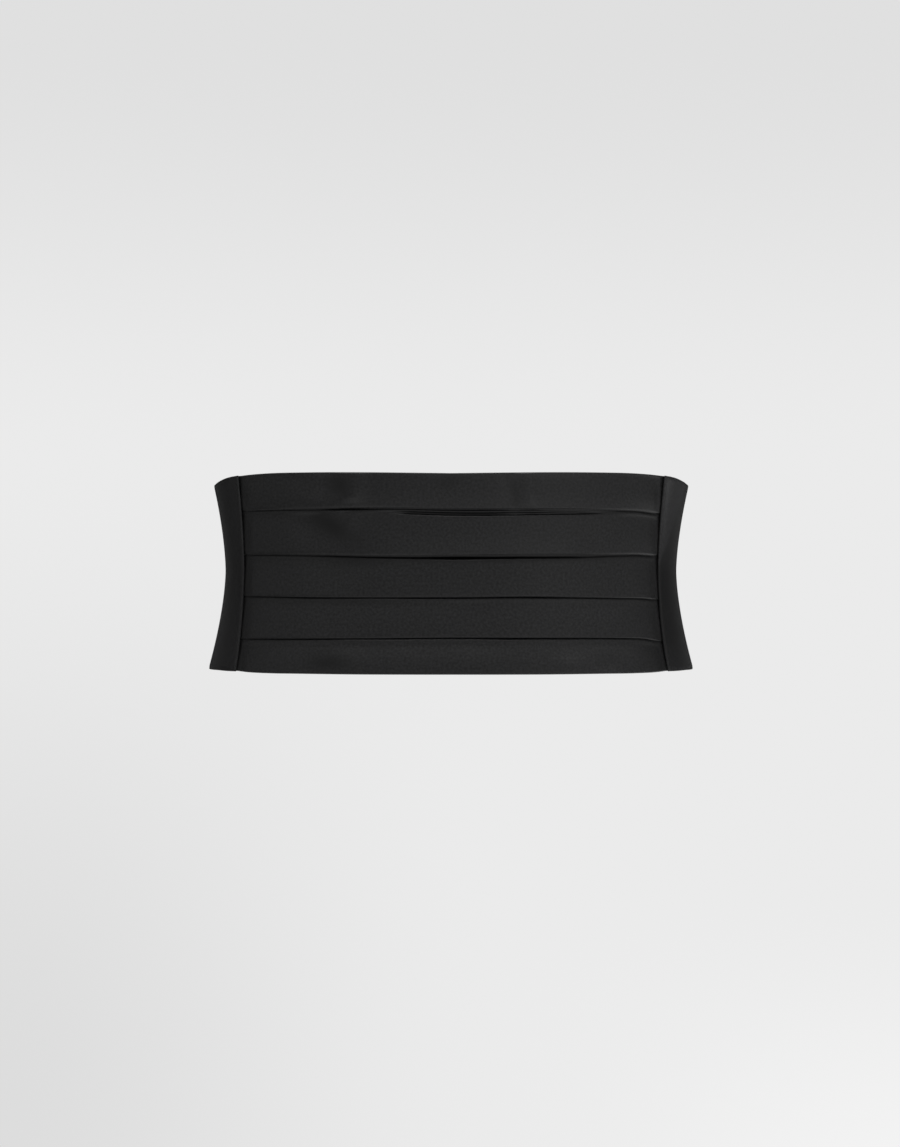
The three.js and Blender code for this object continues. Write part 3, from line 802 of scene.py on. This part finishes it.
def satin(name, shade, roughness):
    """Black satin: fine diagonal floats with a soft stretched gloss and a slightly uneven colour."""
    material, nodes, links, shader = new_material(name)
    place = nodes.new("ShaderNodeAttribute")
    place.attribute_name = "cloth"

    def mapped(scale, turn=0.0):
        mapping = nodes.new("ShaderNodeMapping")
        mapping.inputs["Scale"].default_value = scale
        mapping.inputs["Rotation"].default_value = (0, 0, math.radians(turn))
        links.new(place.outputs["Vector"], mapping.inputs["Vector"])
        return mapping.outputs["Vector"]

    def noise(vector, scale, detail=2.0):
        texture = nodes.new("ShaderNodeTexNoise")
        texture.inputs["Scale"].default_value = scale
        texture.inputs["Detail"].default_value = detail
        links.new(vector, texture.inputs["Vector"])
        return texture.outputs["Fac"]

    def ranged(value, low, high, source=(0.3, 0.7)):
        node = nodes.new("ShaderNodeMapRange")
        node.inputs["From Min"].default_value, node.inputs["From Max"].default_value = source
        node.inputs["To Min"].default_value, node.inputs["To Max"].default_value = low, high
        links.new(value, node.inputs["Value"])
        return node.outputs["Result"]

    def math_node(kind, first, second):
        return math_on(nodes, links, kind, first, second)

    blotch = noise(mapped((1, 1, 1)), scale=620, detail=4)
    thread = noise(mapped((1, 5, 1)), scale=900)
    uneven = math_node("ADD", math_node("MULTIPLY", blotch, 0.6), math_node("MULTIPLY", thread, 0.4))
    colour = nodes.new("ShaderNodeMix")
    colour.data_type = "RGBA"
    colour.inputs["A"].default_value = tuple(DARK_THREAD * c for c in shade) + (1,)
    colour.inputs["B"].default_value = tuple(LIGHT_THREAD * c for c in shade) + (1,)
    links.new(ranged(uneven, 0, 1, (0.38, 0.62)), colour.inputs["Factor"])
    # The tone attribute scales the colour: painted shade on the front, painted light and shade on the right
    # panel
    tone = nodes.new("ShaderNodeAttribute")
    tone.attribute_name = "tone"
    painted_light_and_shade = nodes.new("ShaderNodeVectorMath")
    painted_light_and_shade.operation = "SCALE"
    links.new(colour.outputs["Result"], painted_light_and_shade.inputs[0])
    links.new(tone.outputs["Fac"], painted_light_and_shade.inputs["Scale"])
    links.new(painted_light_and_shade.outputs["Vector"], shader.inputs["Base Color"])
    lining = nodes.new("ShaderNodeAttribute")
    lining.attribute_name = "lining"
    duller = math_node("MULTIPLY", lining.outputs["Fac"], LINING_DULLNESS)
    gloss = ranged(uneven, roughness - ROUGHNESS_SPREAD, roughness + ROUGHNESS_SPREAD)
    rough = math_node("ADD", gloss, duller)
    links.new(rough, shader.inputs["Roughness"])

    floats = nodes.new("ShaderNodeTexWave")
    floats.wave_type = "BANDS"
    floats.inputs["Scale"].default_value = 1
    floats.inputs["Distortion"].default_value = 0.4
    links.new(mapped((700, 700, 700), 28), floats.inputs["Vector"])
    fine = math_node("MULTIPLY", floats.outputs["Fac"], 0.5)
    height = math_node("ADD", fine, math_node("MULTIPLY", uneven, 1.2))
    bump = nodes.new("ShaderNodeBump")
    bump.inputs["Strength"].default_value = 0.35
    bump.inputs["Distance"].default_value = 0.00006
    links.new(height, bump.inputs["Height"])
    links.new(bump.outputs["Normal"], shader.inputs["Normal"])
    shader.inputs["Specular IOR Level"].default_value = 0.32
    shader.inputs["Anisotropic"].default_value = 0.8
    shader.inputs["Coat Weight"].default_value = 0.35
    shader.inputs["Coat Roughness"].default_value = 0.24
    tangent = nodes.new("ShaderNodeTangent")
    tangent.direction_type = "RADIAL"
    tangent.axis = "Z"
    links.new(tangent.outputs["Tangent"], shader.inputs["Tangent"])
    shader.inputs["Sheen Weight"].default_value = 0.04
    shader.inputs["Sheen Roughness"].default_value = 0.35
    return material


def clasp_metal(name):
    material, nodes, links, shader = new_material(name)
    texture = nodes.new("ShaderNodeTexNoise")
    texture.inputs["Scale"].default_value = 900
    place = nodes.new("ShaderNodeTexCoord")
    links.new(place.outputs["Object"], texture.inputs["Vector"])
    rough = nodes.new("ShaderNodeMapRange")
    rough.inputs["To Min"].default_value, rough.inputs["To Max"].default_value = 0.3, 0.45
    links.new(texture.outputs["Fac"], rough.inputs["Value"])
    links.new(rough.outputs["Result"], shader.inputs["Roughness"])
    shader.inputs["Base Color"].default_value = (0.02, 0.02, 0.022, 1)
    shader.inputs["Metallic"].default_value = 0.6
    return material


def sewing_thread(name):
    """Matt black thread with its twist running slantwise."""
    material, nodes, links, shader = new_material(name)
    place = nodes.new("ShaderNodeTexCoord")
    turn = nodes.new("ShaderNodeMapping")
    turn.inputs["Rotation"].default_value = (0, math.radians(35), 0)
    links.new(place.outputs["Object"], turn.inputs["Vector"])
    twist = nodes.new("ShaderNodeTexWave")
    twist.inputs["Scale"].default_value = 900
    twist.inputs["Distortion"].default_value = 0.5
    links.new(turn.outputs["Vector"], twist.inputs["Vector"])
    bump = nodes.new("ShaderNodeBump")
    bump.inputs["Strength"].default_value = 0.5
    bump.inputs["Distance"].default_value = 0.00004
    links.new(twist.outputs["Fac"], bump.inputs["Height"])
    links.new(bump.outputs["Normal"], shader.inputs["Normal"])
    shader.inputs["Base Color"].default_value = (0.016, 0.016, 0.017, 1)
    shader.inputs["Roughness"].default_value = 0.6
    shader.inputs["Sheen Weight"].default_value = 0.1
    return material


# Pieces
def place_piece(piece, material, node=None):
    piece.data.materials.clear()
    piece.data.materials.append(material)
    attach(piece, "root")
    if node:
        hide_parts(node)


FRONT_SATIN = satin("black_satin_front", (0.0095, 0.0095, 0.0100), 0.5)
SIDE_SATIN = satin("black_satin_side", (0.0090, 0.0090, 0.0095), 0.5)
STRAP_SATIN = satin("black_satin_strap", (0.0095, 0.0095, 0.0100), 0.5)

front = pleated_front()
place_piece(front, FRONT_SATIN, "pleated_front")
sides, straps, stitching = {}, {}, {}
thread = sewing_thread("black_thread")
for label, side in (("left", -1), ("right", 1)):
    sides[label] = side_panel(f"side_cloth_{label}", side)
    place_piece(sides[label], SIDE_SATIN, f"side_panel_{label}")
    straps[label] = strap(f"strap_{label}", side)
    place_piece(straps[label], STRAP_SATIN, f"back_strap_{label}")
    stitching[label] = strap_stitching(f"strap_stitching_{label}", side)
    place_piece(stitching[label], thread)
clasp = clasp_plate()
place_piece(clasp, clasp_metal("dark_clasp_metal"), "back_clasp")


# Stage
PAPER_TONE = 0.745


def backdrop_paper():
    """Pale seamless paper, bright of itself so that it is even without flooding the cloth with light."""
    material, nodes, links, shader = new_material("backdrop_paper")
    place = nodes.new("ShaderNodeSeparateXYZ")
    links.new(nodes.new("ShaderNodeTexCoord").outputs["Object"], place.inputs["Vector"])

    def ramp(axis, start, end, amount=1.0):
        node = nodes.new("ShaderNodeMapRange")
        node.interpolation_type = "SMOOTHSTEP"
        node.inputs["From Min"].default_value, node.inputs["From Max"].default_value = start, end
        node.inputs["To Max"].default_value = amount
        links.new(place.outputs[axis], node.inputs["Value"])
        return node.outputs["Result"]

    def combined(kind, first, second):
        return math_on(nodes, links, kind, first, second)

    # darker overhead and low on the left, brightest low on the right
    tone = combined("ADD", ramp("Z", 1.0, 0.25, 0.085), PAPER_TONE)
    low_left = combined("MULTIPLY", ramp("Z", 0.3, -0.8, -0.11), ramp("X", 0.1, -0.8))
    low_right = combined("MULTIPLY", ramp("Z", -0.45, -0.95, 0.07), ramp("X", 0.0, 0.8))
    tone = combined("ADD", combined("ADD", tone, low_left), low_right)
    shader.inputs["Base Color"].default_value = (0, 0, 0, 1)
    shader.inputs["Roughness"].default_value = 1.0
    shader.inputs["Specular IOR Level"].default_value = 0.0
    shader.inputs["Emission Color"].default_value = (1, 1, 1, 1)
    links.new(tone, shader.inputs["Emission Strength"])
    return material


def backdrop():
    """Round studio: a floor well below the object, curved up into a wall that closes overhead."""
    floor_z, wall_radius, bend, wall_top, roof_rise = -1.3, 3.8, 1.2, 1.2, 2.2
    quarter = np.radians(np.linspace(0, 90, 17))
    profile = [(0.0, floor_z)]
    foot = wall_radius - bend
    profile += [(foot + bend * math.sin(t), floor_z + bend * (1 - math.cos(t))) for t in quarter]
    profile += [(wall_radius * math.cos(t), wall_top + roof_rise * math.sin(t)) for t in quarter]
    turns = np.linspace(0, 2 * math.pi, 96, endpoint=False)
    points = [(r * math.cos(a), r * math.sin(a), z) for a in turns for r, z in profile]
    count, around = len(profile), len(turns)
    faces = [
        (i * count + k, i * count + k + 1, (i + 1) % around * count + k + 1, (i + 1) % around * count + k)
        for i in range(around)
        for k in range(count - 1)
    ]
    mesh = bpy.data.meshes.new("backdrop")
    mesh.from_pydata(points, [], faces)
    smooth(mesh)
    mesh.materials.append(backdrop_paper())
    piece = linked_object("backdrop", mesh)
    piece.visible_diffuse = False
    piece.visible_glossy = False
    piece.visible_shadow = False


# Soft round lights in the studio's sky. turn is degrees right of the camera and rise degrees above level,
# full and none are the degrees from the middle at which a light is still full and has faded out.
LIGHTS = [
    {"name": "front", "turn": 0, "rise": 0, "full": 25, "none": 70, "strength": 0.22},
    {"name": "front_low", "turn": 10, "rise": -30, "full": 12, "none": 45, "strength": 0.31},
    {"name": "front_high", "turn": 0, "rise": 30, "full": 12, "none": 45, "strength": 0.08},
    {"name": "front_right", "turn": 60, "rise": 0, "full": 15, "none": 55, "strength": 0.39},
    {"name": "front_left", "turn": -70, "rise": 10, "full": 10, "none": 45, "strength": 0.27},
    {"name": "right_side", "turn": 90, "rise": -28, "full": 12, "none": 24, "strength": 0.22},
    {"name": "right_low", "turn": 112, "rise": -36, "full": 24, "none": 33, "strength": 0.75},
    {"name": "right_rear", "turn": 140, "rise": -36, "full": 16, "none": 28, "strength": 0.3},
    {"name": "left_low", "turn": -110, "rise": -30, "full": 10, "none": 35, "strength": 0.11},
    {"name": "low", "turn": -50, "rise": -50, "full": 10, "none": 35, "strength": 0.5},
    {"name": "overhead", "turn": 0, "rise": 75, "full": 10, "none": 35, "strength": 3.2},
    {"name": "over_right", "turn": 70, "rise": 55, "full": 10, "none": 35, "strength": 0.5},
    {"name": "over_left", "turn": -70, "rise": 55, "full": 10, "none": 35, "strength": 0.18},
    {"name": "low_right", "turn": 45, "rise": -50, "full": 10, "none": 32, "strength": 0.4},
    {"name": "behind_high", "turn": 180, "rise": 58, "full": 18, "none": 42, "strength": 1.7},
    {"name": "behind_low", "turn": 180, "rise": -58, "full": 15, "none": 40, "strength": 1.1},
]
AMBIENT = 0.01


def studio_light():
    """The sky's strength as a sum of the lights' soft discs over a low even ambient."""
    world = bpy.data.worlds.new("studio")
    bpy.context.scene.world = world
    world.use_nodes = True
    nodes, links = world.node_tree.nodes, world.node_tree.links
    direction = nodes.new("ShaderNodeTexCoord").outputs["Generated"]
    total = None
    for light in LIGHTS:
        turn, rise = math.radians(light["turn"]), math.radians(light["rise"])
        toward = (math.sin(turn) * math.cos(rise), -math.cos(turn) * math.cos(rise), math.sin(rise))
        nearness = nodes.new("ShaderNodeVectorMath")
        nearness.operation = "DOT_PRODUCT"
        nearness.inputs[1].default_value = toward
        links.new(direction, nearness.inputs[0])
        disc = nodes.new("ShaderNodeMapRange")
        disc.name = light["name"]
        disc.interpolation_type = "SMOOTHSTEP"
        disc.inputs["From Min"].default_value = math.cos(math.radians(light["none"]))
        disc.inputs["From Max"].default_value = math.cos(math.radians(light["full"]))
        disc.inputs["To Min"].default_value = 0
        disc.inputs["To Max"].default_value = light["strength"]
        links.new(nearness.outputs["Value"], disc.inputs["Value"])
        add = nodes.new("ShaderNodeMath")
        add.operation = "ADD"
        links.new(disc.outputs["Result"], add.inputs[0])
        if total is None:
            add.name = "ambient"
            add.inputs[1].default_value = AMBIENT
        else:
            links.new(total, add.inputs[1])
        total = add.outputs["Value"]
    background = nodes["Background"]
    background.inputs["Color"].default_value = (1, 1, 1, 1)
    links.new(total, background.inputs["Strength"])


def studio():
    studio_light()
    bpy.context.scene.view_settings.view_transform = "Standard"


# Camera: the photo is taken level, from a little under the waist
FRAME_HEIGHT_PX = 1147
SENSOR = 36
FRONT_PX_PER_MM = 1.616
CAMERA_DISTANCE = 2200
CAMERA_ASIDE = -0.7
EYE_HEIGHT = -44.8
EYE_PX_BELOW_MIDDLE = 66.9


def camera():
    focal_px = FRONT_PX_PER_MM * CAMERA_DISTANCE
    data = bpy.data.cameras.new("camera")
    data.sensor_width = SENSOR
    data.lens = focal_px / FRAME_HEIGHT_PX * SENSOR
    view = linked_object("camera", data)
    front_y = -(WAIST_DEPTH / 2 + FRONT_WALL + PLEAT_LIFT / 2)
    view.location = (CAMERA_ASIDE * MM, (front_y - CAMERA_DISTANCE) * MM, EYE_HEIGHT * MM)
    view.rotation_euler = (math.pi / 2 + math.atan(EYE_PX_BELOW_MIDDLE / focal_px), 0, 0)
    bpy.context.scene.camera = view


backdrop()
studio()
camera()
